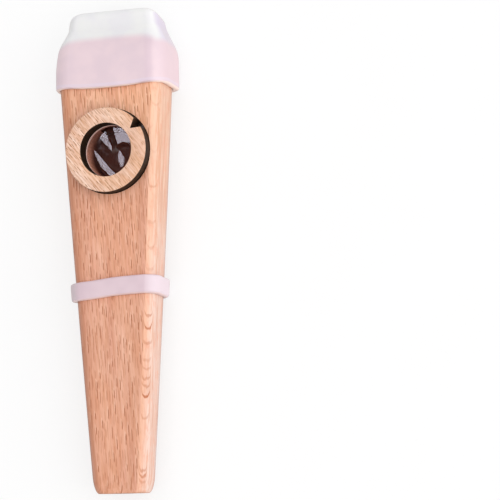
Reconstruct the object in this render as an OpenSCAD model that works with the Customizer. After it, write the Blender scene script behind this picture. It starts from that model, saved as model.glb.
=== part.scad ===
// A wooden kazoo lying on its back: mouth end toward +Y, tail toward -Y, membrane and ring facing up.
// The origin is on the surface that it rests on, under the middle of the whole kazoo.

/* [Body] */
// Length of the wooden body from mouth end to tail
body_len = 120; // [100:1:150]
// Width of the body at its mouth end
mouth_w = 28.9; // [27.5:0.1:34]
// Thickness of the body at its mouth end
mouth_t = 13.1; // [11.5:0.1:16]
// Width of the body at its tail
tail_w = 15.1; // [13:0.1:18]
// Thickness of the body at its tail
tail_t = 9.7; // [8.5:0.1:11]
// Length of the straight stretch at the mouth end that the cap grips
grip_len = 13; // [9:0.5:15]
// Rounding along the two front edges
front_r = 2.5; // [1.5:0.1:3]
// Rounding along the two back edges
back_r = 3.5; // [2:0.1:4]
// Length over which the tail end rounds in
tail_r = 4.4; // [2:0.1:6]
// How far the tail end is drawn in on every side
tail_inset = 1.1; // [0.6:0.1:1.8]
// Length of the nose at the mouth end, where the wood narrows inside the cap
nose_len = 4.6; // [3:0.1:6]
// How far the nose is drawn in on every side at the mouth end
nose_inset = 1.6; // [1:0.1:2.4]

/* [Air channel] */
// Width of the air channel from the mouth end to the sound chamber
channel_w = 16; // [12:0.5:18]
// Height of the air channel
channel_h = 6; // [4.5:0.1:6.5]
// Diameter of the outlet bore from the chamber to the tail end
outlet_d = 5.4; // [4.5:0.1:6]
// Width of the countersink round the outlet
outlet_sink = 0.6; // [0.3:0.1:1]

/* [Ring seat] */
// Distance of the sound hole's middle from the mouth end
hole_from_mouth = 30.4; // [26:0.1:34]
// Diameter of the sound hole under the membrane
hole_d = 14.2; // [12:0.1:15]
// Depth of the round recess that takes the membrane and the ring
recess_depth = 1.4; // [1:0.1:2]

/* [Retaining ring] */
// Outer diameter of the retaining ring
ring_d = 22.4; // [20:0.1:23.5]
// Diameter of the ring's opening
ring_bore = 14.2; // [12:0.1:16]
// Thickness of the ring
ring_t = 4.4; // [3:0.1:5]
// Width of the pry notch at the ring's rim
notch_w = 3; // [1.5:0.1:3.5]
// Depth of the pry notch
notch_depth = 2.5; // [1:0.1:2.8]
// Direction of the pry notch, counted from +X
notch_angle = 36; // [0:1:90]

/* [Membrane] */
// How far the film's edge stays inside the ring's rim
film_margin = 0.2; // [0.1:0.05:1.5]
// Thickness of the film disc
film_t = 0.1; // [0.05:0.01:0.2]

/* [Mouthpiece cap] */
// Wall of the cap's skirt
skirt_wall = 1.4; // [1.2:0.1:2]
// Rounding of the skirt's two front edges
skirt_front_r = 5.5; // [3:0.1:5.8]
// Rounding of the skirt's two back edges
skirt_back_r = 3.4; // [2.5:0.1:4.8]
// Rounding round the skirt's open rim
rim_r = 0.6; // [0.3:0.1:0.8]
// Length of the skirt's straight stretch
skirt_len = 7.7; // [5:0.1:8.5]
// Length of the flare between the skirt and the lip
flare_len = 9; // [7.5:0.1:10]
// Width of the lip
lip_w = 25.8; // [24.5:0.1:28]
// Thickness of the lip
lip_t = 11.2; // [10.8:0.1:13]
// How far the lip lies lower than the middle of the body's thickness
lip_drop = 1.5; // [0:0.1:1.7]
// Corner rounding of the lip
lip_r = 3; // [2:0.1:4]
// Length of the lip, from the flare to its end
lip_len = 4.8; // [4.6:0.1:7]
// How much shorter the lip is at its back than in front
lip_slant = 1.6; // [0:0.1:2]
// Rounding round the lip's end
lip_end_r = 2.5; // [0.5:0.1:2.6]
// Wall of the lip
lip_wall = 1.4; // [1:0.1:1.8]
// Width of the mouth opening
opening_w = 15; // [12:0.1:17]
// Height of the mouth opening
opening_h = 4.8; // [4.2:0.1:5.5]

/* [Band] */
// Width of the band along the body
band_w = 4.7; // [3:0.1:7]
// Distance of the band's middle from the mouth end
band_from_mouth = 66.8; // [55:0.1:75]
// How far the band sits askew, seen from the front
band_askew = 4; // [0:0.5:8]
// How far the band leans toward the tail at the back, seen from the side
band_lean = 2; // [0:0.5:15]

/* [Fit] */
// Radial clearance of the ring in its recess
ring_gap = 0.05; // [0.02:0.01:0.1]
// Clearance between the cap's pocket and the body
cap_gap = 0.1; // [0.05:0.01:0.15]
// Clearance between the band and the body
band_gap = 0.05; // [0.03:0.01:0.1]

/* [Hidden] */
$fn = 64;
// Steps round each rounded corner of a lofted form
corner_steps = 6;
// Overrun of every cut past the face it starts from
over = 0.5;
beech = [0.90, 0.70, 0.56];
pale_beech = [0.94, 0.78, 0.61];
silicone = [0.91, 0.85, 0.89];
clear_film = [0.80, 0.78, 0.84, 0.45];

// The mouth end, the tail end and the line where the straight stretch meets the taper
lip_reach = skirt_len + flare_len + lip_len - grip_len;
tail_y = -(body_len + lip_reach) / 2;
mouth_y = tail_y + body_len;
grip_y = mouth_y - grip_len;
// The back of the wood lies as high as the cap's skirt and the band reach under it
back_z = skirt_wall + cap_gap;
// The front face falls toward the tail
taper_len = grip_y - tail_y;
front_tilt = atan((mouth_t - tail_t) / taper_len);
function thickness(y) = tail_t + (mouth_t - tail_t) * (y - tail_y) / taper_len;
function width(y) = tail_w + (mouth_w - tail_w) * (y - tail_y) / taper_len;
// The middle of the sound hole, on the front face
hole_y = mouth_y - hole_from_mouth;
hole_z = back_z + thickness(hole_y);
recess_d = ring_d + 2 * ring_gap;
film_d = ring_d - 2 * film_margin;
// The air channel runs at half the thickness of the mouth end, the outlet at half that of the tail
channel_z = back_z + mouth_t / 2;
outlet_z = back_z + tail_t / 2;
floor_z = outlet_z - outlet_d / 2;
band_y = mouth_y - band_from_mouth;
// The cap's outer form
skirt_w = mouth_w + 2 * back_z;
skirt_t = mouth_t + 2 * back_z;
skirt_y = grip_y + skirt_len;
flare_y = skirt_y + flare_len;
lip_y = flare_y + lip_len;
lip_z = channel_z - lip_drop;
lip_top = lip_z + lip_t / 2;
hollow_y = lip_y - lip_slant - lip_wall;
hollow_h = lip_t - 2 * lip_wall;

// Points round a rounded section at y that stands on z: w wide, t high, rounded in front and behind
function section(y, z, w, t, r_front, r_back) = [
    for (corner = [[1, 1, 0], [-1, 1, 90], [-1, 0, 180], [1, 0, 270]])
        for (i = [0 : corner_steps])
            let (r = corner[1] == 1 ? r_front : r_back)
            let (a = corner[2] + 90 * i / corner_steps)
            [corner[0] * (w / 2 - r) + r * cos(a), y, z + (corner[1] == 1 ? t - r : r) + r * sin(a)]
];

// A closed form stretched over sections listed from the tail toward the mouth end
module loft(sections) {
    n = len(sections[0]);
    last = len(sections) - 1;
    points = [for (s = sections) each s];
    sides = [
        for (k = [0 : last - 1])
            for (i = [0 : n - 1])
                let (a = k * n + i, b = k * n + (i + 1) % n)
                each [[a, b, b + n], [a, b + n, a + n]]
    ];
    tail_end = [for (i = [n - 1 : -1 : 0]) i];
    mouth_end = [for (i = [1 : n - 2]) [last * n, last * n + i, last * n + i + 1]];
    polyhedron(points, concat([tail_end], sides, mouth_end));
}

// A slot with round ends that runs len from y toward the tail, its middle at z
module slot(y, len, z, w, h) {
    translate([0, y, z])
        rotate([90, 0, 0])
            linear_extrude(height = len) {
                square([w - h, h], center = true);
                for (side = [-1, 1])
                    translate([side * (w - h) / 2, 0])
                        circle(d = h);
            }
}

// The body's section at y, drawn in by inset and grown by grow on every side
function body_section(y, inset, grow) =
    let (flat_y = min(y, grip_y), change = grow - inset)
    section(y, back_z - change, width(flat_y) + 2 * change, thickness(flat_y) + 2 * change,
        front_r + grow, back_r + grow);

// Sections of the nose: straight up to it, then drawn in, as shares of its length and inset
nose_shares = [[0, 0], [0.3, 0.18], [0.65, 0.55], [1, 1]];
function nose_sections(grow) = [
    for (step = nose_shares)
        body_section(mouth_y - nose_len * (1 - step[0]), nose_inset * step[1], grow)
];

// Sections of the tail end, rounded in a quarter turn
tail_sections = [
    for (a = [90 : -90 / corner_steps : 0])
        body_section(tail_y + tail_r * (1 - sin(a)), tail_inset * (1 - cos(a)), 0)
];

// Puts a child drawn from the front face upward on the sound hole's axis
module at_hole() {
    translate([0, hole_y, hole_z])
        rotate([front_tilt, 0, 0])
            children();
}

module body() {
    color(beech)
        difference() {
            loft(concat(tail_sections, [body_section(grip_y, 0, 0)], nose_sections(0)));
            // Round recess for the membrane and the ring
            at_hole()
                translate([0, 0, -recess_depth])
                    cylinder(h = recess_depth + over, d = recess_d);
            // Sound hole, down to the bottom of the outlet bore
            at_hole()
                translate([0, 0, floor_z - hole_z])
                    cylinder(h = hole_z - floor_z, d = hole_d);
            // Air channel from the mouth end into the sound hole
            slot(mouth_y + over, mouth_y + over - hole_y, channel_z, channel_w, channel_h);
            // Outlet bore from the sound hole to the tail end
            translate([0, hole_y, outlet_z])
                rotate([90, 0, 0])
                    cylinder(h = hole_y - tail_y + over, d = outlet_d);
            // Countersink of the outlet
            translate([0, tail_y + outlet_sink, outlet_z])
                rotate([90, 0, 0])
                    cylinder(h = outlet_sink, d1 = outlet_d, d2 = outlet_d + 2 * outlet_sink);
        }
}

module retaining_ring() {
    color(pale_beech)
        at_hole()
            translate([0, 0, film_t - recess_depth])
                difference() {
                    cylinder(h = ring_t, d = ring_d);
                    translate([0, 0, -over])
                        cylinder(h = ring_t + 2 * over, d = ring_bore);
                    rotate([0, 0, notch_angle])
                        translate([ring_d / 2 - notch_depth, 0, -over])
                            linear_extrude(height = ring_t + 2 * over)
                                notch_outline();
                }
}

// The V of the pry notch, from its tip outward past the rim
module notch_outline() {
    flare = notch_w / 2 / notch_depth;
    reach = notch_depth + over;
    polygon([[0, 0], [reach, -flare * reach], [reach, flare * reach]]);
}

module membrane() {
    color(clear_film)
        at_hole()
            translate([0, 0, -recess_depth])
                cylinder(h = film_t, d = film_d);
}

// The cap's outer section at y, from the skirt's form at share 0 to the lip's at 1, drawn in by inset
function cap_section(y, share, inset) =
    let (w = skirt_w + (lip_w - skirt_w) * share - 2 * inset)
    let (t = skirt_t + (lip_t - skirt_t) * share - 2 * inset)
    section(y, channel_z - lip_drop * share - t / 2, w, t, skirt_front_r + (lip_r - skirt_front_r) * share,
        skirt_back_r + (lip_r - skirt_back_r) * share);

// A quarter turn in steps, for the skirt's rim and the lip's end
quarter = [for (i = [0 : corner_steps]) 90 * i / corner_steps];
// The flare is an S, its steps given as shares of its length and of the way from skirt to lip
flare_shares = [[0, 0], [0.13, 0.03], [0.25, 0.09], [0.38, 0.2], [0.5, 0.34], [0.63, 0.51],
    [0.75, 0.67], [0.88, 0.84], [1, 1]];
// The lip's end slants: below its front edge it stands back further the lower it lies
function slanted(points) = [
    for (p = points)
        [p[0], p[1] - lip_slant * (lip_top - lip_end_r - p[2]) / lip_t, p[2]]
];
cap_sections = concat(
    [for (a = quarter) cap_section(grip_y + rim_r * (1 - cos(a)), 0, rim_r * (1 - sin(a)))],
    [for (step = flare_shares) cap_section(skirt_y + flare_len * step[0], step[1], 0)],
    [for (a = quarter) slanted(cap_section(lip_y - lip_end_r * (1 - sin(a)), 1, lip_end_r * (1 - cos(a))))]
);

module mouthpiece_cap() {
    color(silicone)
        difference() {
            loft(cap_sections);
            // Pocket that takes the body's mouth end
            translate([0, cap_gap, 0])
                loft(concat([body_section(grip_y - over, 0, cap_gap)], nose_sections(cap_gap)));
            // Hollow of the lip
            slot(hollow_y, hollow_y - mouth_y, lip_z, lip_w - 2 * lip_wall, hollow_h);
            // Mouth opening
            slot(lip_y + over, lip_y - hollow_y + 2 * over, lip_z, opening_w, opening_h);
        }
}

// A stretch of the body's form round the band's place, reaching span each way and grown by grow
module body_stretch(span, grow) {
    loft([body_section(band_y - span, 0, grow), body_section(band_y + span, 0, grow)]);
}

module body_band() {
    reach = mouth_w + mouth_t;
    span = 2 * band_w;
    color(silicone)
        difference() {
            intersection() {
                body_stretch(span, back_z);
                translate([0, band_y, back_z + thickness(band_y) / 2])
                    rotate([-band_lean, 0, band_askew])
                        translate([-reach, -band_w / 2, -reach])
                            cube([2 * reach, band_w, 2 * reach]);
            }
            body_stretch(span + over, band_gap);
        }
}

body();
retaining_ring();
membrane();
mouthpiece_cap();
body_band();
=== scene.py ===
import math

import bmesh
import bpy
import numpy as np
from mathutils import Matrix, Vector


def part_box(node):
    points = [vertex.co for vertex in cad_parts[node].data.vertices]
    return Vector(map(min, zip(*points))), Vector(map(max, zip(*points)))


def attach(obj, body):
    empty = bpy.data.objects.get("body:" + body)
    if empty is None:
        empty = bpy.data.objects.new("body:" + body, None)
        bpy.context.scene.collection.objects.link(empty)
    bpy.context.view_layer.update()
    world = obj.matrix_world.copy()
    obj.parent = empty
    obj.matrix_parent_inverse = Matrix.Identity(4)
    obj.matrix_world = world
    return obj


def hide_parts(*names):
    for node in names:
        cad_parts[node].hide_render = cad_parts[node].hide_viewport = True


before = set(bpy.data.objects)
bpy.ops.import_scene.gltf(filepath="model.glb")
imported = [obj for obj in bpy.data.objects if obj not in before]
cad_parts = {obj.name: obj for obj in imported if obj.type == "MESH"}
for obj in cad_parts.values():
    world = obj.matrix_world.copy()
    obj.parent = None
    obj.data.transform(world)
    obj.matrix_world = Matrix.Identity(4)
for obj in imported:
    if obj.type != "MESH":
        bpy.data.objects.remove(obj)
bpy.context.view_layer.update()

# Wooden body
# One tapered stick of flat-sawn beech, planed and sanded, its four long edges rounded over.
# A round recess and a sound hole are bored into the front face, an air channel runs in from the
# mouth end, and a bore runs out through the tail.
MM = 0.001
body_low, body_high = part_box("body")
tail_y = body_low.y
mouth_y = body_high.y
back_z = body_low.z
mouth_w = body_high.x - body_low.x
mouth_t = body_high.z - body_low.z
tail_w = 15.1 * MM
tail_t = 9.7 * MM
grip_y = mouth_y - 13 * MM
front_r = 2.5 * MM
back_r = 3.5 * MM
tail_round = 4.4 * MM
tail_inset = 1.05 * MM
# How far each side bows out between the tail and the grip
belly = 0.16 * MM
nose_len = 4.6 * MM
nose_inset = 1.6 * MM
# The nose's outline, as shares of its length and of its inset
nose_shape = ((0, 0), (0.15, 0.05), (0.3, 0.18), (0.48, 0.34), (0.65, 0.55), (0.83, 0.77), (1, 1))
# The front edges are rounded with a flatter arc that meets both faces at a slight angle
front_sweep = math.radians(58)
back_sweep = math.radians(90)
channel_w = 16 * MM
channel_h = 6 * MM
# The channel opens into the chamber this far past the hole's middle
channel_from_hole = 6.2 * MM
outlet_r = 2.7 * MM
outlet_sink = 0.6 * MM
hole_r = 7.1 * MM
recess_r = 11.25 * MM
recess_depth = 1.4 * MM
edge_break = 0.18 * MM
overrun = 1 * MM
# The U-shaped growth lines over the right front edge: lowest point (mm), depth of the U (1/mm), strength
growth_marks = (
    (37.0, 0.6, 0.15), (24.5, 0.9, 0.12), (15.2, 0.6, 0.3), (5.8, 0.4, 0.2), (-0.8, 0.8, 0.25),
    (-6.5, 0.6, 0.2), (-18.6, 0.8, 0.5), (-21.9, 1.1, 0.8), (-25.7, 0.4, 0.4), (-30.1, 0.3, 0.3),
    (-32.4, 0.4, 0.35), (-34.9, 0.5, 0.45), (-36.9, 0.6, 0.45), (-39.4, 1.0, 0.9), (-45.0, 0.7, 0.35),
    (-58.6, 0.9, 0.5), (-60.1, 1.0, 0.65), (-61.6, 0.8, 0.35))

front_tilt = math.atan2(mouth_t - tail_t, grip_y - tail_y)
hole_y = mouth_y - 30.4 * MM
hole_z = back_z + tail_t + (mouth_t - tail_t) * (hole_y - tail_y) / (grip_y - tail_y)
channel_z = back_z + mouth_t / 2
outlet_z = back_z + tail_t / 2
# The frame of the sound hole: its origin on the front face, its Z along the hole
hole_frame = Matrix.Translation((0, hole_y, hole_z)) @ Matrix.Rotation(front_tilt, 4, "X")


def width_at(y):
    share = min(1, (y - tail_y) / (grip_y - tail_y))
    return tail_w + (mouth_w - tail_w) * share + 8 * belly * share * (1 - share)


def thickness_at(y):
    return tail_t + (mouth_t - tail_t) * min(1, (y - tail_y) / (grip_y - tail_y))


def rounded(w, t, z, r_front, r_back, sweep_front=math.radians(90), sweep_back=math.radians(90),
            steps=10, between=0):
    """Points (x, z) round a section that stands on z, its corners arcs of the given sweep, with points
    between them on each straight side."""
    points = []
    for side, end, first in ((1, 1, 1), (-1, 1, -1), (-1, -1, 1), (1, -1, -1)):
        r, sweep = (r_front, sweep_front) if end > 0 else (r_back, sweep_back)
        arc_r = r * math.sqrt(0.5) / math.sin(sweep / 2)
        outward = Vector((side, end)) * math.sqrt(0.5)
        along = Vector((side, -end)) * math.sqrt(0.5)
        corner = Vector((side * w / 2, z + (t if end > 0 else 0)))
        middle = corner - outward * (r * math.sqrt(0.5) + arc_r * math.cos(sweep / 2))
        for k in range(steps + 1):
            a = first * sweep * (0.5 - k / steps)
            points.append(middle + outward * arc_r * math.cos(a) + along * arc_r * math.sin(a))
    filled = []
    for i, p in enumerate(points):
        filled.append(p)
        if i % (steps + 1) == steps:
            after = points[(i + 1) % len(points)]
            filled += [p.lerp(after, k / (between + 1)) for k in range(1, between + 1)]
    return filled


def body_ring(y, inset, grow=0.0, between=0):
    change = grow - inset
    outline = rounded(width_at(y) + 2 * change, thickness_at(y) + 2 * change, back_z - change,
                      front_r + 0.8 * grow, back_r + grow, front_sweep, back_sweep, between=between)
    return [Vector((p.x, y, p.y)) for p in outline]


def new_piece(name, mesh_builder):
    """An object from a bmesh, its faces turned outward."""
    bmesh.ops.recalc_face_normals(mesh_builder, faces=mesh_builder.faces)
    mesh = bpy.data.meshes.new(name)
    mesh_builder.to_mesh(mesh)
    mesh_builder.free()
    piece = bpy.data.objects.new(name, mesh)
    bpy.context.scene.collection.objects.link(piece)
    return piece


def smooth(piece, sharp_degrees=28):
    for face in piece.data.polygons:
        face.use_smooth = True
    piece.data.set_sharp_from_angle(angle=math.radians(sharp_degrees))
    return piece


def stretched(name, rings, meet=False):
    """A skin over rings of points. Its two ends are closed, or with meet the last ring joins the first."""
    made = bmesh.new()
    rows = [[made.verts.new(p) for p in ring] for ring in rings]
    count = len(rows[0])
    pairs = list(zip(rows, rows[1:])) + ([(rows[-1], rows[0])] if meet else [])
    for low, high in pairs:
        for i in range(count):
            j = (i + 1) % count
            made.faces.new((low[i], low[j], high[j], high[i]))
    if not meet:
        made.faces.new(rows[0])
        made.faces.new(rows[-1])
    return new_piece(name, made)


def turned(name, profile, place, segments=160):
    """A solid turned from a profile of (radius, height) points, both ends closed."""
    rings = [[place @ Vector((r * math.cos(a), r * math.sin(a), z))
              for a in (2 * math.pi * i / segments for i in range(segments))] for r, z in profile]
    return stretched(name, rings)


def cut(piece, cutter, material):
    """Cuts the cutter out of the piece; the new faces get the given material."""
    cutter.data.materials.append(material)
    change = piece.modifiers.new("cut", "BOOLEAN")
    change.operation = "DIFFERENCE"
    change.solver = "EXACT"
    change.material_mode = "TRANSFER"
    change.object = cutter
    settle(piece)
    bpy.data.objects.remove(cutter)


def settle(piece):
    """Applies the piece's modifiers to its mesh."""
    bpy.context.view_layer.update()
    done = bpy.data.meshes.new_from_object(piece.evaluated_get(bpy.context.evaluated_depsgraph_get()))
    piece.modifiers.clear()
    piece.data = done


def paint(code):
    """The linear colour of an sRGB code."""
    parts = [int(code[i:i + 2], 16) / 255 for i in (0, 2, 4)]
    return [c / 12.92 if c <= 0.04045 else ((c + 0.055) / 1.055) ** 2.4 for c in parts] + [1]


def put(tree, kind, values=None, **settings):
    """A shader node with its settings and inputs; an input that is another node's output is linked."""
    made = tree.nodes.new("ShaderNode" + kind)
    for name, value in settings.items():
        setattr(made, name, value)
    for name, value in (values or {}).items():
        if isinstance(value, bpy.types.NodeSocket):
            tree.links.new(value, made.inputs[name])
        else:
            made.inputs[name].default_value = value
    return made


def reckon(tree, operation, a, b=0.0, c=0.0):
    return put(tree, "Math", {0: a, 1: b, 2: c}, operation=operation).outputs[0]


def scaled(tree, place, factors, shift=(0, 0, 0)):
    return put(tree, "VectorMath", {0: place, 1: factors, 2: shift}, operation="MULTIPLY_ADD").outputs[0]


def eased(tree, value, low, high, start=0.0, end=1.0):
    return put(tree, "MapRange", {0: value, 1: low, 2: high, 3: start, 4: end},
               interpolation_type="SMOOTHSTEP").outputs[0]


def mixed(tree, share, a, b, blend_type="MIX"):
    return put(tree, "Mix", {0: share, 6: a, 7: b}, data_type="RGBA", blend_type=blend_type).outputs[2]


def noise_at(tree, place, detail=2.0, rough=0.5):
    values = {"Vector": place, "Scale": 1.0, "Detail": detail, "Roughness": rough}
    return put(tree, "TexNoise", values).outputs[0]


def toned(tree, color, value, low, high, dark, bright):
    """The colour times a factor for each channel, from dark to bright as the value goes from low to high."""
    factors = [eased(tree, value, low, high, first, last) for first, last in zip(dark, bright)]
    return mixed(tree, 1.0, color, put(tree, "CombineColor", dict(enumerate(factors))).outputs[0], "MULTIPLY")


def close_to(tree, value, middle, reach, core, most=1.0):
    """As much as most where the value lies within core of the middle, easing to nothing at reach."""
    away = reckon(tree, "ABSOLUTE", reckon(tree, "SUBTRACT", value, middle))
    return eased(tree, away, reach, core, 0.0, most)


def split(tree, vector):
    return put(tree, "SeparateXYZ", {0: vector}).outputs


def facing(tree, kind="Normal"):
    """The three parts of the surface's direction."""
    return split(tree, put(tree, "NewGeometry").outputs[kind])


def spun(tree, place, degrees):
    """The place turned about Z."""
    return put(tree, "VectorRotate", {"Vector": place, "Axis": (0, 0, 1), "Angle": math.radians(degrees)},
               rotation_type="AXIS_ANGLE").outputs[0]


def group(name, inputs, outputs):
    """An empty node group with its named sockets, and its two end nodes."""
    tree = bpy.data.node_groups.new(name, "ShaderNodeTree")
    for label, kind in inputs:
        tree.interface.new_socket(label, in_out="INPUT", socket_type="NodeSocket" + kind)
    for label, kind in outputs:
        tree.interface.new_socket(label, in_out="OUTPUT", socket_type="NodeSocket" + kind)
    return tree, tree.nodes.new("NodeGroupInput").outputs, tree.nodes.new("NodeGroupOutput").inputs


def use(tree, shared, values):
    """Places a node group in a tree and gives its outputs."""
    made = put(tree, "Group", node_tree=shared)
    for name, value in values.items():
        if isinstance(value, bpy.types.NodeSocket):
            tree.links.new(value, made.inputs[name])
        else:
            made.inputs[name].default_value = value
    return made.outputs


def new_material(name):
    """A material with its shader; its tree, shader and the place on the piece in millimetres."""
    made = bpy.data.materials.new(name)
    made.use_nodes = True
    tree = made.node_tree
    shader = tree.nodes["Principled BSDF"]
    place = scaled(tree, put(tree, "TexCoord").outputs["Object"], (1 / MM,) * 3)
    return made, tree, shader, place


def feed(tree, shader, color=None, rough=None, relief=None, depth=0.05 * MM):
    if color is not None:
        tree.links.new(color, shader.inputs["Base Color"])
    if rough is not None:
        tree.links.new(rough, shader.inputs["Roughness"])
    if relief is not None:
        bump = put(tree, "Bump", {"Height": relief, "Distance": depth, "Strength": 1.0})
        tree.links.new(bump.outputs[0], shader.inputs["Normal"])


def beech_group():
    """Flat-sawn beech with its grain along Y, in millimetres: streaks, fibres, and the short dark ray flecks,
    each the edge of a thin sheet that runs aslant into the wood, with a paler glint beside it."""
    tree, given, result = group(
        "beech_figure",
        [("Place", "Vector"), ("Pale", "Color"), ("Deep", "Color"), ("Warm", "Color"), ("Fleck", "Color"),
         ("Flecks", "Float")],
        [("Color", "Color"), ("Relief", "Float")])
    drift = put(tree, "TexNoise", {"Vector": scaled(tree, given["Place"], (0.10, 0.018, 0.10)), "Scale": 1.0,
                                   "Detail": 1.0}).outputs[1]
    bent = scaled(tree, drift, (2.4, 0.0, 2.4), given["Place"])
    streak = eased(tree, noise_at(tree, scaled(tree, bent, (0.55, 0.022, 0.55)), 3.0, 0.6), 0.28, 0.72)
    color = mixed(tree, streak, given["Pale"], given["Deep"])
    patch = noise_at(tree, scaled(tree, bent, (0.13, 0.04, 0.13), (5.1, 2.3, 0.7)), 2.0)
    color = mixed(tree, eased(tree, patch, 0.42, 0.62, 0.0, 0.45), color, given["Warm"])
    middling = noise_at(tree, scaled(tree, bent, (1.7, 0.09, 1.7), (1.9, 7.7, 3.1)), 2.0, 0.6)
    color = toned(tree, color, middling, 0.30, 0.70, (0.93, 0.86, 0.80), (1.06, 1.10, 1.15))
    fibre = noise_at(tree, scaled(tree, bent, (5.5, 0.16, 5.5)), 2.0, 0.6)
    color = toned(tree, color, fibre, 0.25, 0.75, (0.93, 0.91, 0.89), (1.06, 1.07, 1.08))

    x, y, z = split(tree, scaled(tree, drift, (0.7, 0.0, 0.7), given["Place"]))
    across_grain = reckon(tree, "SUBTRACT", x, z)
    # The cells are sheared, so that the flecks never stand in rows
    sheared = reckon(tree, "MULTIPLY_ADD", across_grain, 1.9, y)
    sheets = put(tree, "CombineXYZ", {0: across_grain, 1: sheared}).outputs[0]

    def flecks(shift, width, length, half_w, faintest):
        """One straight fleck in each cell of the given size, at random strengths and lengths."""
        at = scaled(tree, scaled(tree, sheets, (1, 1, 1), shift), (1 / width, 1 / length, 0))
        cell = put(tree, "TexVoronoi", {"Vector": at, "Scale": 1.0, "Randomness": 0.85},
                   voronoi_dimensions="2D")
        pick = put(tree, "SeparateColor", {0: cell.outputs["Color"]}).outputs
        away = put(tree, "VectorMath", {0: at, 1: cell.outputs["Position"]}, operation="SUBTRACT").outputs[0]
        away = split(tree, scaled(tree, away, (width, length, 0)))
        across = close_to(tree, away[0], 0.0, half_w * 1.3, half_w * 0.5)
        stretch = eased(tree, pick[1], 0.0, 1.0, 1.0, 2.0)
        along = reckon(tree, "DIVIDE", reckon(tree, "ABSOLUTE", away[1]), stretch)
        shape = reckon(tree, "MULTIPLY", across, eased(tree, along, 1.0, 0.55))
        return reckon(tree, "MULTIPLY", shape, eased(tree, pick[0], 0.1, 1.0, faintest, 1.0))

    long_flecks = flecks((0, 0, 0), 0.88, 4.6, 0.125, 0.3)
    short_flecks = flecks((31.7, 11.3, 0), 0.70, 3.8, 0.11, 0.0)
    glints = flecks((0.24, -0.3, 0.0), 0.88, 4.6, 0.15, 0.1)
    both = reckon(tree, "MAXIMUM", long_flecks, reckon(tree, "MULTIPLY", short_flecks, 0.5))
    color = mixed(tree, reckon(tree, "MULTIPLY", glints, 0.35), color, paint("ffd9bf"))
    color = mixed(tree, reckon(tree, "MULTIPLY", both, given["Flecks"]), color, given["Fleck"])
    tree.links.new(color, result["Color"])
    tree.links.new(reckon(tree, "SUBTRACT", reckon(tree, "MULTIPLY", fibre, 0.35), both), result["Relief"])
    return tree


beech_figure = beech_group()


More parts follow.
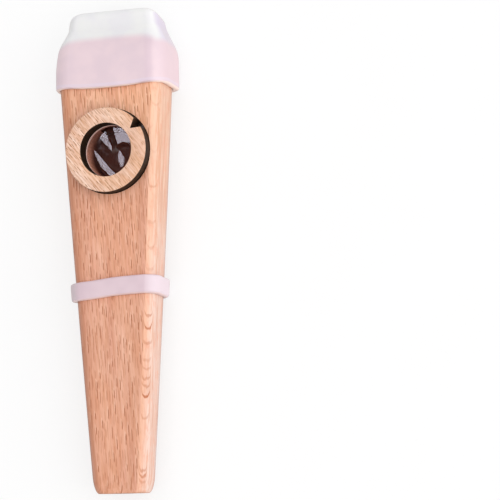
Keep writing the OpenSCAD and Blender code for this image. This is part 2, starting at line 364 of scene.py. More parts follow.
def body_beech():
    """The outside of the body: grain a few degrees off its length, redder along its left side, which has
    painted shade, a painted highlight on the rounded right front edge and painted light on the right side,
    with the growth lines turning in U shapes where they cross the rounded front edges."""
    made, tree, shader, place = new_material("body beech")
    sideways, endways, upward = facing(tree)
    few = eased(tree, reckon(tree, "ABSOLUTE", sideways), 0.1, 0.6, 0.95, 0.15)
    wood = use(tree, beech_figure, {
        "Place": spun(tree, place, -3.8), "Pale": paint("efb89b"), "Deep": paint("e1a388"),
        "Warm": paint("e7a582"), "Fleck": paint("ac613a"), "Flecks": few})
    x, y, z = split(tree, place)
    # Deeper toward the tail, brighter toward the mouth end
    color = mixed(tree, eased(tree, y, -30.0, 45.0, 0.08, 0.0), wood["Color"], paint("b97a60"))
    color = mixed(tree, eased(tree, y, 12.0, 40.0), color, (1.10, 1.16, 1.12, 1), "MULTIPLY")
    # Redder wood toward the left edge, and painted shade on the surfaces that face left, away from the light
    half_rise = (mouth_w - tail_w) / 2 / (grip_y - tail_y)
    half = reckon(tree, "MULTIPLY_ADD", y, half_rise, (tail_w / 2 - tail_y * half_rise) / MM)
    leftness = reckon(tree, "DIVIDE", x, half)
    red_and_shaded_left = reckon(tree, "MULTIPLY", eased(tree, leftness, -0.5, -1.0, 0.0, 0.6),
                      eased(tree, sideways, -1.0, -0.7, 0.25, 1.0))
    color = mixed(tree, red_and_shaded_left, color, paint("b66f4e"))
    # Painted shade: a dark grey line along the left side, which faces away from the light
    color = mixed(tree, close_to(tree, sideways, -0.85, 0.15, 0.06, 0.38), color, paint("84685e"))
    # Painted highlight: the rounded right front edge, which faces the light, is paler, most toward the mouth
    # end
    painted_edge_highlight = reckon(tree, "MULTIPLY", close_to(tree, sideways, 0.55, 0.45, 0.2),
                          eased(tree, y, -40.0, 20.0, 0.3, 0.7))
    color = mixed(tree, painted_edge_highlight, color, paint("fbcdb0"))
    # The right side faces the light and is painted paler and pinker, with fine long stripes where it was sawn
    # at another angle to the growth lines
    stripes = noise_at(tree, scaled(tree, place, (1.3, 0.025, 2.4)), 3.0, 0.6)
    painted_lit_side_stripes = mixed(tree, eased(tree, stripes, 0.4, 0.6), paint("ecd2c6"), paint("ddb19c"))
    color = mixed(tree, eased(tree, sideways, 0.4, 0.9, 0.0, 0.85), color, painted_lit_side_stripes)
    # That side is more orange toward the mouth end
    orange = reckon(tree, "MULTIPLY", eased(tree, sideways, 0.4, 0.9), eased(tree, y, -22.0, 30.0))
    color = mixed(tree, orange, color, (0.98, 0.89, 0.78, 1), "MULTIPLY")
    # Painted shade: greyer where the right side turns down, away from the light
    under = reckon(tree, "MULTIPLY", eased(tree, upward, 0.04, -0.3),
                   eased(tree, sideways, 0.2, 0.5, 0.0, 0.8))
    color = mixed(tree, under, color, paint("b8988c"))
    # Small redder patches break up its stripes, and lie on the rounded edge too
    patches = noise_at(tree, scaled(tree, place, (0.9, 0.28, 0.9), (4.4, 0.9, 8.2)), 3.0, 0.65)
    patches = reckon(tree, "MULTIPLY", eased(tree, patches, 0.5, 0.68),
                     eased(tree, sideways, 0.05, 0.4, 0.0, 0.55))
    color = mixed(tree, patches, color, paint("e6a184"))
    # It is a little greyer toward its back edge
    backward = reckon(tree, "MULTIPLY", eased(tree, z, 6.6, 3.4), eased(tree, sideways, 0.5, 0.9, 0.0, 0.5))
    color = mixed(tree, backward, color, paint("b8a09c"))
    # U-shaped growth lines: q runs over the right side's rounded front edge, zero at its middle
    top_rise = (mouth_t - tail_t) / (grip_y - tail_y)
    top = reckon(tree, "MULTIPLY_ADD", y, top_rise, (back_z + tail_t - tail_y * top_rise) / MM)
    q = reckon(tree, "SUBTRACT", reckon(tree, "SUBTRACT", x, half), reckon(tree, "SUBTRACT", z, top))
    q = reckon(tree, "MULTIPLY_ADD", q, math.sqrt(0.5), 0.25)
    arms = reckon(tree, "POWER", reckon(tree, "ABSOLUTE", q), 3.5)
    wander = noise_at(tree, scaled(tree, place, (1.1, 0.5, 1.1)), 2.0)
    wandered = reckon(tree, "MULTIPLY_ADD", wander, 1.4, reckon(tree, "SUBTRACT", y, 0.7))
    marks = 0.0
    for lowest, depth, strength in growth_marks:
        height = reckon(tree, "MULTIPLY_ADD", arms, -depth, wandered)
        marks = reckon(tree, "MAXIMUM", marks, close_to(tree, height, lowest, 0.6, 0.1, strength))
    # A darker streak runs beside the rounded edge
    color = mixed(tree, close_to(tree, q, -2.7, 1.1, 0.2, 0.2), color, paint("c27e58"))
    marks = reckon(tree, "MULTIPLY", marks, close_to(tree, q, 0.0, 1.45, 0.9))
    color = mixed(tree, marks, color, paint("b8683c"))
    # End grain is darker and finely dotted
    dots = noise_at(tree, scaled(tree, place, (6.0, 1.0, 6.0)), 1.0)
    dotted = reckon(tree, "MULTIPLY", eased(tree, reckon(tree, "ABSOLUTE", endways), 0.55, 0.95),
                    eased(tree, dots, 0.3, 0.7, 0.35, 0.75))
    color = mixed(tree, dotted, color, paint("a86a48"))
    shader.inputs["Specular IOR Level"].default_value = 0.35
    feed(tree, shader, color, eased(tree, wood["Relief"], -1.0, 0.4, 0.62, 0.46), wood["Relief"], 0.035 * MM)
    return made


def bored_beech():
    """The inside of the sound hole and the channels, drilled: pale with painted light at the top of the wall,
    with a painted lit edge, and painted shade that darkens it with depth and toward the mouth.
    """
    made, tree, shader, place = new_material("bored beech")
    _, y, z = split(tree, place)
    around = noise_at(tree, scaled(tree, place, (2.2, 2.2, 0.4)), 3.0)
    top = (hole_z - recess_depth) / MM
    # Painted light and shade: pale where the light reaches the top of the wall, darker with depth
    painted_depth_shade = eased(tree, z, top - 1.5, top - 6.5)
    color = mixed(tree, painted_depth_shade, paint("ffb59c"), paint("663022"))
    color = mixed(tree, eased(tree, around, 0.35, 0.7, 0.0, 0.25), color, paint("6a3828"))
    # Painted shade: the wall is darker on the side toward the mouth
    painted_mouthward_shade = eased(tree, y, hole_y / MM - 1.0, hole_y / MM + 5.0, 0.0, 0.6)
    color = mixed(tree, painted_mouthward_shade, color, paint("5c2c22"))
    # Painted highlight: a pale lit edge at the top of the wall
    lip = eased(tree, z, top - 0.9, top - 0.3)
    color = mixed(tree, lip, color, paint("ffd8cc"))
    shader.inputs["Specular IOR Level"].default_value = 0.25
    feed(tree, shader, color, eased(tree, around, 0.3, 0.7, 0.55, 0.75), around, 0.06 * MM)
    return made


def scorched_beech():
    """A wall left near black by the cut, with fine upright striations."""
    made, tree, shader, place = new_material("scorched beech")
    stripes = noise_at(tree, scaled(tree, place, (3.5, 3.5, 0.12)), 3.0, 0.7)
    color = mixed(tree, eased(tree, stripes, 0.3, 0.72), paint("20130d"), paint("4b3526"))
    shader.inputs["Specular IOR Level"].default_value = 0.3
    feed(tree, shader, color, eased(tree, stripes, 0.3, 0.7, 0.5, 0.7), stripes, 0.05 * MM)
    return made


def wooden_body():
    turn = [math.radians(a) for a in range(90, -1, -9)]
    straight = grip_y - tail_y - tail_round
    rows = 12
    rings = [body_ring(tail_y + tail_round * (1 - math.sin(a)), tail_inset * (1 - math.cos(a))) for a in turn]
    rings += [body_ring(tail_y + tail_round + straight * k / rows, 0) for k in range(1, rows + 1)]
    rings += [body_ring(mouth_y - nose_len * (1 - along), nose_inset * inward)
              for along, inward in nose_shape]
    piece = stretched("body_wood", rings)
    piece.data.materials.append(body_beech())
    bored = bored_beech()
    scorched = scorched_beech()
    recess = turned("recess", [(recess_r, -recess_depth), (recess_r, -edge_break),
                               (recess_r + edge_break, 0), (recess_r + edge_break, overrun)], hole_frame)
    floor_depth = (hole_z - outlet_z) + outlet_r
    chamber = turned("chamber", [
        (hole_r - 3 * edge_break, -floor_depth), (hole_r, -floor_depth + 2 * edge_break),
        (hole_r, -recess_depth - edge_break), (hole_r + edge_break, -recess_depth),
        (hole_r + edge_break, -recess_depth + edge_break)], hole_frame)
    # The channel widens a little at the mouth end, where its edge is broken
    channel_rings = []
    for y, wider in ((hole_y + channel_from_hole, 0), (mouth_y - nose_inset, 0),
                     (mouth_y - 0.2 * MM, edge_break), (mouth_y + overrun, 3 * edge_break)):
        end_r = channel_h / 2 + wider - edge_break / 9
        outline = rounded(channel_w + 2 * wider, channel_h + 2 * wider, channel_z - channel_h / 2 - wider,
                          end_r, end_r)
        channel_rings.append([Vector((p.x, y, p.y)) for p in outline])
    channel = stretched("channel", channel_rings)
    outward = Matrix.Translation((0, hole_y, outlet_z)) @ Matrix.Rotation(math.radians(90), 4, "X")
    reach = hole_y - tail_y
    outlet = turned("outlet", [
        (outlet_r, 0), (outlet_r, reach - outlet_sink), (outlet_r + outlet_sink, reach),
        (outlet_r + 2 * outlet_sink, reach + outlet_sink)], outward, 72)
    cut(piece, recess, scorched)
    for cutter in (chamber, channel, outlet):
        cut(piece, cutter, bored)
    smooth(piece)
    change = piece.modifiers.new("even shading", "WEIGHTED_NORMAL")
    change.keep_sharp = True
    change.weight = 100
    settle(piece)
    return piece


body_wood = wooden_body()
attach(body_wood, "body")
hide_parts("body")

# Membrane
# A disc of thin clear film over the sound hole, held down by the ring. It was laid by hand, so
# it is creased: a few flat facets lie between the creases, and each catches the light on its own.
film_r = 11.0 * MM
film_t = 0.05 * MM
film_lift = 0.025 * MM
facet_slope = Vector((-0.07, 0.01))
# How strongly the film between the facets domes, in 1/mm
film_dome = 0.142
# The film is free within this radius (mm), and held down outside it
free_r = 7.1
# Corners of the facets in the hole's frame, in millimetres, and the height of each facet's first corner
facets = (
    (((-3.06, 3.93), (-1.48, 5.75), (0.38, 0.45), (0.1, 0.3)), 0.49),
    (((0.15, 7.2), (1.69, 1.77), (3.1, 2.55), (4.3, 2.1), (5.9, 1.6), (6.6, 2.9), (4.9, 5.4), (2.4, 7.0)),
     -0.13),
    (((-4.7, 0.85), (-3.85, -1.6), (-2.7, -3.9), (-0.7, -6.4), (1.1, -5.9), (-1.45, -3.1), (-3.15, -0.8)),
     0.56),
    (((2.55, 0.4), (2.2, -1.2), (2.3, -2.6), (2.75, -4.7), (3.65, -3.6), (3.65, -2.4), (3.1, -0.6)), 0.76),
)


def inside(x, y, corners):
    """For arrays of places, whether each lies within the polygon."""
    hit = np.zeros(x.shape, bool)
    for (x1, y1), (x2, y2) in zip(corners, corners[1:] + corners[:1]):
        if y1 != y2:
            edge_x = (x2 - x1) * (y - y1) / (y2 - y1) + x1
            hit ^= ((y1 > y) != (y2 > y)) & (x < edge_x)
    return hit


def neighbours(grid):
    return [np.roll(grid, step, axis) for axis in (0, 1) for step in (1, -1)]


def film_heights(half=7.4, count=149, rounds=400, hurry=1.95):
    """Heights of the film over the hole on a square grid: each facet is flat, and between them the film
    domes a little, so that each height is the mean of its neighbours' and a trifle more. Each round moves
    the heights by hurry times what they lack, and so they settle soon."""
    line = np.linspace(-half, half, count)
    step = line[1] - line[0]
    x, y = np.meshgrid(line, line, indexing="ij")
    height = np.zeros((count, count))
    fixed = np.hypot(x, y) > free_r
    for corners, first in facets:
        own = inside(x, y, corners)
        own = np.logical_or.reduce([own] + neighbours(own)) & (np.hypot(x, y) < free_r)
        level = first + facet_slope.x * (x - corners[0][0]) + facet_slope.y * (y - corners[0][1])
        height[own] = level[own]
        fixed |= own
    chequer = np.add.outer(np.arange(count), np.arange(count)) % 2
    for k in range(2 * rounds):
        mean = sum(neighbours(height)) / 4
        turn = (chequer == k % 2) & ~fixed
        height[turn] += hurry * (mean + film_dome * step * step / 4 - height)[turn]
    return line, height


def clear_film():
    made, tree, shader, place = new_material("clear film")
    smear = noise_at(tree, scaled(tree, place, (0.5, 0.5, 0.5)), 4.0, 0.6)
    shader.inputs["Base Color"].default_value = (1, 1, 1, 1)
    shader.inputs["Transmission Weight"].default_value = 1.0
    shader.inputs["IOR"].default_value = 1.45
    feed(tree, shader, rough=eased(tree, smear, 0.35, 0.75, 0.02, 0.12))
    # Light on its way to the chamber passes straight through
    path = put(tree, "LightPath").outputs
    passing = reckon(tree, "MAXIMUM", path["Is Shadow Ray"], path["Is Diffuse Ray"])
    tree.links.new(reckon(tree, "SUBTRACT", 1.0, passing), shader.inputs["Alpha"])
    return made


def membrane():
    line, height = film_heights()
    step = line[1] - line[0]

    def height_at(x, y):
        i = min(max((x - line[0]) / step, 0), len(line) - 1.001)
        j = min(max((y - line[0]) / step, 0), len(line) - 1.001)
        a, b = int(i), int(j)
        s, t = i - a, j - b
        low_side = height[a, b] * (1 - s) + height[a + 1, b] * s
        high_side = height[a, b + 1] * (1 - s) + height[a + 1, b + 1] * s
        return low_side * (1 - t) + high_side * t

    # Fine rows over the hole, and a few wide ones under the ring
    fine_rows = 80
    radii = [7.2 * k / fine_rows for k in range(1, fine_rows + 1)] + [7.6, 8.5, 9.7, film_r / MM]
    count = 200
    angles = [2 * math.pi * i / count for i in range(count)]
    made = bmesh.new()

    def sheet(offset):
        rows = []
        for r in radii:
            places = [(r * math.cos(a), r * math.sin(a)) for a in angles]
            rows.append([made.verts.new(hole_frame @ Vector((
                x * MM, y * MM, height_at(x, y) * MM - recess_depth + offset))) for x, y in places])
        centre = made.verts.new(hole_frame @ Vector((0, 0, height_at(0, 0) * MM - recess_depth + offset)))
        for i in range(count):
            made.faces.new((centre, rows[0][i], rows[0][(i + 1) % count]))
        for low, high in zip(rows, rows[1:]):
            for i in range(count):
                j = (i + 1) % count
                made.faces.new((low[i], high[i], high[j], low[j]))
        return rows[-1]

    under = sheet(film_lift)
    over = sheet(film_lift + film_t)
    for i in range(count):
        j = (i + 1) % count
        made.faces.new((under[i], under[j], over[j], over[i]))
    piece = new_piece("membrane_film", made)
    piece.data.materials.append(clear_film())
    return smooth(piece, 60)


membrane_film = membrane()
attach(membrane_film, "film")
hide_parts("membrane")

# Retaining ring
# A ring cut from thin beech sheet by a hot beam, which leaves its walls nearly black and its
# edges faintly scorched. It presses the film into the recess; a small V at its rim helps to pry it out.
ring_r = 11.2 * MM
ring_bore_r = 7.1 * MM
ring_t = 4.4 * MM
ring_low = -recess_depth + 0.1 * MM
notch_half_w = 1.5 * MM
notch_depth = 2.5 * MM
notch_angle = math.radians(36.3)
ring_edge = 0.11 * MM


def ring_outline(count=240):
    """Outer points from the notch round to the notch again, its tip first."""
    half = math.asin(notch_half_w / ring_r)
    arc = [(ring_r, half + (2 * math.pi - 2 * half) * k / count) for k in range(count + 1)]
    points = [(r * math.cos(a + notch_angle), r * math.sin(a + notch_angle)) for r, a in arc]
    tip = ring_r - notch_depth
    return [(tip * math.cos(notch_angle), tip * math.sin(notch_angle))] + points


def scorched_sheet():
    """Pale beech faces with diagonal grain; the upright walls are scorched, and so is a hair of each face."""
    made, tree, shader, place = new_material("ring beech")
    leaned = scaled(tree, spun(tree, place, -39.7), (1.3, 1.7, 1.0))
    wood = use(tree, beech_figure, {
        "Place": leaned, "Pale": paint("f6d6c4"), "Deep": paint("e6b89c"), "Warm": paint("e8bb98"),
        "Fleck": paint("a0683e"), "Flecks": 0.9})
    strokes = noise_at(tree, scaled(tree, leaned, (1.9, 0.14, 1.0), (3.3, 0.6, 2.9)), 2.0, 0.65)
    figure = toned(tree, wood["Color"], strokes, 0.32, 0.68, (0.90, 0.84, 0.78), (1.07, 1.11, 1.15))
    # The sheet is yellower toward its right
    figure = mixed(tree, eased(tree, split(tree, place)[0], 0.0, 11.0, 0.0, 0.35), figure, paint("dca47e"))
    stripes = noise_at(tree, scaled(tree, place, (3.2, 3.2, 0.15)), 3.0, 0.7)
    burnt = mixed(tree, eased(tree, stripes, 0.3, 0.72), paint("140a05"), paint("3c2818"))
    upward = reckon(tree, "ABSOLUTE", facing(tree, "True Normal")[2])
    color = mixed(tree, eased(tree, upward, 0.97, 0.7), figure, burnt)
    shader.inputs["Specular IOR Level"].default_value = 0.2
    feed(tree, shader, color, eased(tree, stripes, 0.3, 0.7, 0.5, 0.66), wood["Relief"], 0.03 * MM)
    return made


def retaining_ring():
    outer = ring_outline()
    count = len(outer)
    bore = []
    for k, (x, y) in enumerate(outer):
        a = notch_angle if k == 0 else math.atan2(y, x)
        bore.append((ring_bore_r * math.cos(a), ring_bore_r * math.sin(a)))
    made = bmesh.new()
    low_z, high_z = ring_low, ring_low + ring_t

    def row(points, z):
        return [made.verts.new(hole_frame @ Vector((x, y, z))) for x, y in points]

    rows = [row(outer, low_z), row(outer, high_z), row(bore, high_z), row(bore, low_z)]
    for low, high in zip(rows, rows[1:] + rows[:1]):
        for i in range(count):
            j = (i + 1) % count
            made.faces.new((low[i], low[j], high[j], high[i]))
    piece = new_piece("retaining_ring_wood", made)
    piece.data.materials.append(scorched_sheet())
    change = piece.modifiers.new("broken edge", "BEVEL")
    change.width = ring_edge
    change.segments = 2
    change.limit_method = "ANGLE"
    change.angle_limit = math.radians(40)
    settle(piece)
    return smooth(piece, 30)


ring_wood = retaining_ring()
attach(ring_wood, "ring")
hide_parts("retaining_ring")

# Mouthpiece cap
# One soft moulding of milky silicone. Its skirt grips the mouth end of the wood, a flare narrows
# it to the lip, and the lip is hollow, with a flat oval opening that is blown or hummed into.
cap_low, cap_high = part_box("mouthpiece_cap")
skirt_w = cap_high.x - cap_low.x
skirt_t = cap_high.z - cap_low.z
lip_y = cap_high.y
skirt_y = grip_y + 7.7 * MM
flare_len = 9 * MM
lip_w = 25.8 * MM
lip_end_w = 24.3 * MM
lip_t = 11.2 * MM
lip_r = 3 * MM
lip_drop = 1.5 * MM
lip_end_r = 2.5 * MM
# How much shorter the lip is at its back than in front
lip_slant = 1.6 * MM
lip_wall = 1.4 * MM
# The lip's end is rounded in further at its sides, by this factor
side_rounding = 1.15
# How sharply the flare turns at its skirt end and at its lip end
flare_start = 1.95
flare_end = 0.97
rim_r = 0.6 * MM
# The soft rim waves: toward the tail in the middle of the front (rim_dip), toward the mouth at the sides
# (rim_rise), and a little more so at its two front corners (rim_bump)
rim_rise = 0.25 * MM
rim_dip = 0.85 * MM
rim_bump = 0.3 * MM
rim_bump_x = 10.5 * MM
rim_bump_spread = 2 * MM
# The left side is drawn in a little where the skirt turns into the flare
shoulder_in = 0.38 * MM
shoulder_y = 51.8 * MM
shoulder_spread = 2.4 * MM
skirt_front_r = 5.5 * MM
skirt_back_r = 3.4 * MM
opening_w = 15 * MM
opening_h = 4.8 * MM
opening_edge = 0.4 * MM
cap_gap = 0.1 * MM
lip_z = channel_z - lip_drop
lip_top = lip_z + lip_t / 2
hollow_y = lip_y - lip_slant - lip_wall


def lerp(a, b, share):
    return a + (b - a) * share


def rim_sag(p):
    """How far the soft rim lies along Y from its place at a point; only its front half waves."""
    frontness = max(0, (p.z - channel_z) / (skirt_t / 2))
    bump = rim_bump * math.exp(-((abs(p.x) - rim_bump_x) / rim_bump_spread) ** 2)
    return frontness * (rim_rise - rim_dip * (1 - (2 * p.x / skirt_w) ** 2) + bump)


def left_shoulder(ring):
    """The ring with its left side drawn in at the shoulder, where the moulding is uneven."""
    drawn = []
    for p in ring:
        inward = shoulder_in * math.exp(-((p.y - shoulder_y) / shoulder_spread) ** 2)
        leftness = min(1, max(0, -2 * p.x / skirt_w))
        drawn.append(Vector((p.x + inward * leftness, p.y, p.z)))
    return drawn


def sagged(ring, share=1.0):
    return [Vector((p.x, p.y + share * rim_sag(p), p.z)) for p in ring]


def slanted(ring):
    """The ring with its back drawn in, as the end of the lip stands at a slant."""
    front_z = lip_top - lip_end_r
    return [Vector((p.x, min(lip_y, p.y - lip_slant * (front_z - p.z) / lip_t), p.z)) for p in ring]


def cap_ring(y, share, inset):
    """The cap's outside at a place along it: the skirt's at share 0, the lip's at share 1."""
    end_share = max(0, (y - skirt_y - flare_len) / (lip_y - skirt_y - flare_len))
    w = lerp(skirt_w, lerp(lip_w, lip_end_w, end_share), share) - 2 * inset * lerp(1, side_rounding, share)
    t = lerp(skirt_t, lip_t, share) - 2 * inset
    low_z = channel_z - lip_drop * share - t / 2
    outline = rounded(w, t, low_z, lerp(skirt_front_r, lip_r, share) - inset / 3,
                      lerp(skirt_back_r, lip_r, share) - inset / 3, steps=14, between=9)
    return [Vector((p.x, y, p.y)) for p in outline]


def slot_ring(y, w, h, z):
    """A flat oval; its ends are a hair less than half rounds, so that no two points meet."""
    r = h / 2 * 0.98
    return [Vector((p.x, y, p.y)) for p in rounded(w, h, z - h / 2, r, r, steps=14, between=9)]


def pocket_ring(y, inset):
    """The cap's inside, which fits round the wood with a small gap."""
    change = cap_gap - inset
    outline = rounded(width_at(y) + 2 * change, thickness_at(y) + 2 * change, back_z - change,
                      front_r + cap_gap, back_r + cap_gap, front_sweep, back_sweep, steps=14, between=9)
    return [Vector((p.x, y, p.y)) for p in outline]


def silicone_group():
    """Milky silicone: a faint mottle between two tints, and a satin skin with fine dust."""
    tree, given, result = group(
        "silicone_figure", [("Place", "Vector"), ("Milk", "Color"), ("Blush", "Color")],
        [("Color", "Color"), ("Rough", "Float"), ("Relief", "Float")])
    mottle = noise_at(tree, scaled(tree, given["Place"], (0.16, 0.16, 0.16)), 2.0, 0.5)
    grit = noise_at(tree, scaled(tree, given["Place"], (4.0, 4.0, 4.0)), 3.0, 0.6)
    mottled = mixed(tree, eased(tree, mottle, 0.35, 0.68), given["Milk"], given["Blush"])
    tree.links.new(mottled, result["Color"])
    tree.links.new(eased(tree, grit, 0.3, 0.75, 0.40, 0.54), result["Rough"])
    tree.links.new(reckon(tree, "MULTIPLY_ADD", mottle, 3.0, grit), result["Relief"])
    return tree


silicone_figure = silicone_group()


def silicone(name, clearness, tinted):
    """Milky silicone; tinted gives its two tints where it lies, from the tree and the place."""
    made, tree, shader, place = new_material(name)
    milk, blush = tinted(tree, place)
    look = use(tree, silicone_figure, {"Place": place, "Milk": milk, "Blush": blush})
    # Where it is seen at a grazing angle, it is a little greyer and warmer
    grazing = eased(tree, put(tree, "LayerWeight", {"Blend": 0.5}).outputs["Facing"], 0.72, 0.98, 0.0, 0.75)
    color = mixed(tree, grazing, look["Color"], paint("d9cbc6"))
    shader.inputs["Transmission Weight"].default_value = clearness
    shader.inputs["IOR"].default_value = 1.41
    shader.inputs["Specular IOR Level"].default_value = 0.4
    feed(tree, shader, color, look["Rough"], look["Relief"], 0.02 * MM)
    return made


def cap_tints(tree, place):
    """White on the lip, pink where wood shows through, and at the rim a lavender line and a painted bright
    line of reflected light.
    """
    x, y, z = split(tree, place)
    sideward = reckon(tree, "POWER", reckon(tree, "MULTIPLY", reckon(tree, "ABSOLUTE", x), 0.075), 6.0)
    tip = reckon(tree, "MULTIPLY_ADD", reckon(tree, "MINIMUM", sideward, 1.0), 1.5, y)
    over_wood = eased(tree, tip, mouth_y / MM + 1.6, mouth_y / MM - 1.1)
    # Painted shade on its lit side: the side that faces the light gets darker tints, so it is little brighter
    # than its front, standing in for light that spreads inside it; a painted shade band lies where the front
    # turns to the side
    sideways = facing(tree)[0]
    lit = eased(tree, sideways, 0.6, 0.98)
    shade = close_to(tree, sideways, 0.24, 0.30, 0.06, 0.4)
    bulge = reckon(tree, "POWER", reckon(tree, "MULTIPLY", x, 2 * MM / skirt_w), 2.0)
    bulge = reckon(tree, "MULTIPLY", bulge, rim_dip / MM)
    above_rim = reckon(tree, "SUBTRACT", y, reckon(tree, "ADD", bulge, grip_y / MM - 0.6))
    lavender = close_to(tree, above_rim, 0.85, 0.6, 0.2, 0.35)
    # Painted reflection: a bright line at the rim, for light from the wood shining into its rounded edge
    glow = eased(tree, above_rim, 0.32, 0.14)
    tints = []
    for lip_tint, front_tint, lit_tint in (("f6f6f5", "f3dce2", "ebd2d8"), ("f1f0f3", "ecd6de", "e9d1d8")):
        on_lip = mixed(tree, lit, paint(lip_tint), paint("dfd6e6"))
        on_wood = mixed(tree, lit, paint(front_tint), paint(lit_tint))
        on_wood = mixed(tree, shade, on_wood, paint("d8c0ce"))
        tint = mixed(tree, over_wood, on_lip, on_wood)
        tint = mixed(tree, lavender, tint, paint("eadff0"))
        tints.append(mixed(tree, glow, tint, paint("ffe8de")))
    return tints


def mouthpiece_cap():
    quarter = [math.radians(a) for a in range(0, 91, 15)]
    # Up the outside from the rim, along the skirt, the flare and the lip
    rings = [sagged(cap_ring(grip_y + rim_r * (1 - math.cos(a)), 0, rim_r * (1 - math.sin(a))))
             for a in quarter]
    rings += [sagged(cap_ring(lerp(grip_y + rim_r, skirt_y, k / 3), 0, 0), 1 - k / 3) for k in (1, 2)]
    rings += [cap_ring(skirt_y, 0, 0)]
    for s in (k / 16 for k in range(1, 16)):
        narrowed = s ** flare_start / (s ** flare_start + (1 - s) ** flare_end)
        rings += [cap_ring(skirt_y + flare_len * s, narrowed, 0)]
    rings += [cap_ring(skirt_y + flare_len, 1, 0)]
    rings = [left_shoulder(ring) for ring in rings]
    rings += [slanted(cap_ring(lip_y - lip_end_r * (1 - math.sin(a)), 1, lip_end_r * (1 - math.cos(a))))
              for a in quarter]
    # In through the mouth opening, whose edge is rounded, along the lip's hollow, and back to the rim
    edge = opening_edge
    for a in quarter:
        y = lip_y - edge * (1 - math.cos(a))
        wider = 2 * edge * (1 - math.sin(a))
        rings += [slanted(slot_ring(y, opening_w + wider, opening_h + wider, lip_z))]
    rings += [slot_ring(hollow_y, opening_w, opening_h, lip_z)]
    hollow_w, hollow_h = lip_end_w - 2 * lip_wall, lip_t - 2 * lip_wall
    rings += [slot_ring(hollow_y - edge / 4, hollow_w - edge, hollow_h - edge, lip_z),
              slot_ring(hollow_y - edge, hollow_w, hollow_h, lip_z),
              slot_ring(mouth_y + cap_gap, hollow_w, hollow_h, lip_z)]
    rings += [pocket_ring(mouth_y + cap_gap - nose_len * (1 - along), nose_inset * inward)
              for along, inward in nose_shape[::-2]]
    rings += [sagged(pocket_ring(grip_y + edge, 0)), sagged(pocket_ring(grip_y + edge / 3, -edge / 6)),
              sagged(pocket_ring(grip_y, -edge / 2))]
    piece = stretched("mouthpiece_cap_silicone", rings, meet=True)
    piece.data.materials.append(silicone("cap silicone", 0.08, cap_tints))
    return smooth(piece, 50)


cap_silicone = mouthpiece_cap()
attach(cap_silicone, "cap")
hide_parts("mouthpiece_cap")

# Band
# A loop of the same soft silicone that hugs the body a little above its tail half. It is pushed
# on by hand, so it sits slightly askew; it may be slid off over the tail.
band_w = 4.85 * MM
band_y = mouth_y - 66.7 * MM
band_z = back_z + thickness_at(band_y) / 2
band_askew = math.radians(1.8)
band_lean = math.radians(2)
# It is twisted along its left half, and less along its right half
band_twist = 0.007 / MM
right_share = 0.3
# Over the front face it bows toward the mouth, most a little right of the middle
band_bow = 0.17 * MM
bow_x = 3 * MM
bow_half_w = 7.5 * MM
# Behind, its right end is drawn toward the mouth
end_lift = 0.27 * MM
band_points = 9
band_gap = 0.05 * MM
# The kazoo rests on it, so it is as thick as the body's back is high
band_t = back_z
band_round = 0.75 * MM
band_foot = 0.2 * MM


def band_profile():
    """Points (across, out) of the band's section: flat inside, with rounded outer shoulders."""
    half = band_w / 2
    own = []
    for a in (math.radians(k * 18) for k in range(5, -1, -1)):
        own.append((half - band_round * (1 - math.cos(a)), band_t - band_round * (1 - math.sin(a))))
    for a in (math.radians(k * 30) for k in range(4)):
        own.append((half - band_foot * (1 - math.cos(a)), band_gap + band_foot * (1 - math.sin(a))))
    return [(-across, out) for across, out in own[::-1]] + own


def band_shift(p):
    """How far along Y the band lies at a point, from where its middle is."""
    lean = math.tan(band_lean) + band_twist * min(p.x, right_share * p.x)
    bow = band_bow * max(0, 1 - ((p.x - bow_x) / bow_half_w) ** 2) * (p.z > band_z)
    rightness = max(0, 2 * p.x / width_at(band_y))
    lift = end_lift * rightness * max(0, 2 * (band_z - p.z) / thickness_at(band_y))
    return math.tan(band_askew) * p.x + lean * (p.z - band_z) + bow + lift


def band_tints(tree, place):
    """Pink over the wood, greyer at the left, painted paler where it faces the light, and a painted highlight
    line along its tail edge.
    """
    x, y, z = split(tree, place)
    # How far a place lies across the band from its middle, as band_shift puts it
    turned_x = reckon(tree, "MINIMUM", x, reckon(tree, "MULTIPLY", x, right_share))
    lean = reckon(tree, "MULTIPLY_ADD", turned_x, -band_twist * MM, -math.tan(band_lean))
    across = reckon(tree, "MULTIPLY_ADD", reckon(tree, "SUBTRACT", z, band_z / MM), lean, y)
    across = reckon(tree, "SUBTRACT", across, band_y / MM)
    across = reckon(tree, "MULTIPLY_ADD", x, -math.tan(band_askew), across)
    bow = reckon(tree, "MULTIPLY", reckon(tree, "SUBTRACT", x, bow_x / MM), MM / bow_half_w)
    bow = reckon(tree, "MAXIMUM", reckon(tree, "SUBTRACT", 1.0, reckon(tree, "MULTIPLY", bow, bow)), 0.0)
    bow = reckon(tree, "MULTIPLY", bow, reckon(tree, "GREATER_THAN", z, band_z / MM))
    across = reckon(tree, "MULTIPLY_ADD", bow, -band_bow / MM, across)
    leftmost = eased(tree, x, -9.0, -11.0)
    tail_edge = -band_w / 2 / MM
    # Painted highlight: a bright line along the tail edge; painted light: paler where it faces the light
    glow = eased(tree, across, tail_edge + 0.4, tail_edge + 0.1, 0.0, 0.5)
    lit = eased(tree, facing(tree)[0], 0.1, 0.8)
    tints = []
    for tint in ("efd8e0", "e8d0d9"):
        tint = mixed(tree, leftmost, paint(tint), paint("e4d3d8"))
        tint = mixed(tree, lit, tint, paint("f3e2ea"))
        tints.append(mixed(tree, glow, tint, paint("ffe0d4")))
    return tints


def body_band():
    rings = []
    for across, out in band_profile():
        places = [band_y + band_shift(p) + across for p in body_ring(band_y, 0, out, band_points)]
        rings.append([body_ring(y, 0, out, band_points)[i] for i, y in enumerate(places)])
    piece = stretched("body_band_silicone", rings, meet=True)
    piece.data.materials.append(silicone("band silicone", 0.15, band_tints))
    return smooth(piece, 50)


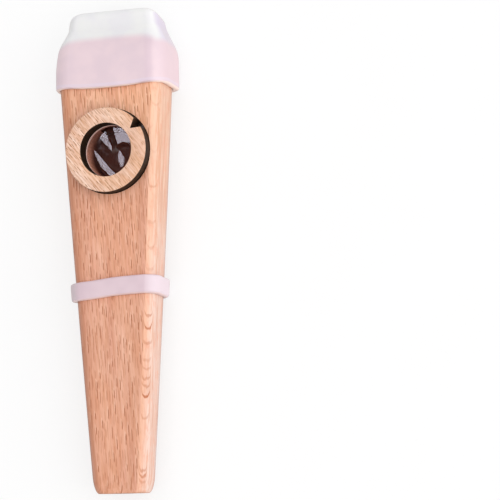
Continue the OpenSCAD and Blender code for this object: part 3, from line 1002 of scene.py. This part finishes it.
band_silicone = body_band()
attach(band_silicone, "band")
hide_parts("body_band")

# Studio
# A white table under soft light: a wide panel from the right, a small one overhead that the film's
# facets catch, and a pale surround that is darker straight above.
object_middle = Vector((0, 0, 8 * MM))


def panel(name, direction, distance, width, height, level, tint, middle=object_middle):
    """A soft light panel that faces the middle given; level is its brightness where white is 1."""
    lamp = bpy.data.lights.new(name, "AREA")
    lamp.shape = "RECTANGLE"
    lamp.size, lamp.size_y = width, height
    lamp.energy = level * math.pi * width * height
    lamp.color = tint
    made = bpy.data.objects.new(name, lamp)
    toward = Vector(direction).normalized()
    turn = toward.to_track_quat("Z", "Y").to_matrix().to_4x4()
    made.matrix_world = Matrix.Translation(middle + toward * distance) @ turn
    made.visible_camera = False
    bpy.context.scene.collection.objects.link(made)


panel("right panel", (0.86, -0.1, 0.5), 0.9, 0.7, 0.9, 1.0, (1.0, 0.97, 0.95))
facet_light = hole_frame.to_3x3() @ Vector((-0.213, 0.137, 0.968))
panel("overhead panel", facet_light, 0.8, 0.105, 0.105, 5.0, (0.93, 0.87, 1.0), hole_frame.translation)


def seen_rays(tree):
    """1 for what the camera, a mirror or something clear sees, 0 for light on its way to the object."""
    path = put(tree, "LightPath").outputs
    return reckon(tree, "MAXIMUM", path["Is Camera Ray"],
                  reckon(tree, "MAXIMUM", path["Is Glossy Ray"], path["Is Transmission Ray"]))


def surround():
    world = bpy.data.worlds.new("studio")
    world.use_nodes = True
    tree = world.node_tree
    right, _, up = split(tree, put(tree, "TexCoord").outputs["Generated"])
    level = reckon(tree, "MULTIPLY_ADD", right, 0.35, reckon(tree, "MULTIPLY_ADD", up, 0.63, 0.51))
    light = put(tree, "CombineColor", {0: level, 1: level, 2: level}).outputs[0]
    mirrored = mixed(tree, eased(tree, up, 0.45, 0.8), (1, 1, 1, 1), (0.09, 0.07, 0.07, 1))
    color = mixed(tree, seen_rays(tree), light, mirrored)
    tree.links.new(color, tree.nodes["Background"].inputs["Color"])
    bpy.context.scene.world = world


def table():
    made = bmesh.new()
    bmesh.ops.create_circle(made, cap_ends=True, segments=96, radius=4.0)
    floor = new_piece("floor", made)
    floor.data.transform(Matrix.Translation((0, 0, -0.02 * MM)))
    material = bpy.data.materials.new("white table")
    material.use_nodes = True
    tree = material.node_tree
    shader = tree.nodes["Principled BSDF"]
    shader.inputs["Roughness"].default_value = 0.9
    shader.inputs["Specular IOR Level"].default_value = 0.1
    grain = noise_at(tree, scaled(tree, put(tree, "TexCoord").outputs["Object"], (40, 40, 40)), 3.0)
    white = mixed(tree, grain, (0.93, 0.93, 0.93, 1), (0.96, 0.96, 0.96, 1))
    tree.links.new(white, shader.inputs["Base Color"])
    glow = put(tree, "Emission", {"Color": (1, 1, 1, 1), "Strength": 1.0})
    blend = put(tree, "MixShader", {0: reckon(tree, "MULTIPLY", seen_rays(tree), 0.7)})
    tree.links.new(shader.outputs[0], blend.inputs[1])
    tree.links.new(glow.outputs[0], blend.inputs[2])
    tree.links.new(blend.outputs[0], tree.nodes["Material Output"].inputs["Surface"])
    floor.data.materials.append(material)


surround()
table()


def photographer():
    """The camera stands over the object, to its right and toward its tail, as the photograph was taken."""
    turn, tip, roll, slope = (math.radians(a) for a in (16.33, 5.90, -1.83, 1.81))
    stand = (Matrix.Rotation(slope, 4, "X") @ Matrix.Rotation(turn, 4, "Y") @ Matrix.Rotation(tip, 4, "X")
             @ Matrix.Rotation(roll, 4, "Z"))
    aim = Vector((37.68, -3.12, 13.11)) * MM
    lens = bpy.data.cameras.new("camera")
    lens.sensor_width = 36
    lens.lens = 137.36
    lens.clip_start = 0.01
    camera = bpy.data.objects.new("camera", lens)
    camera.matrix_world = Matrix.Translation(aim + stand.to_3x3() @ Vector((0, 0, 489.6 * MM))) @ stand
    bpy.context.scene.collection.objects.link(camera)
    bpy.context.scene.camera = camera


photographer()
bpy.context.scene.view_settings.view_transform = "Standard"
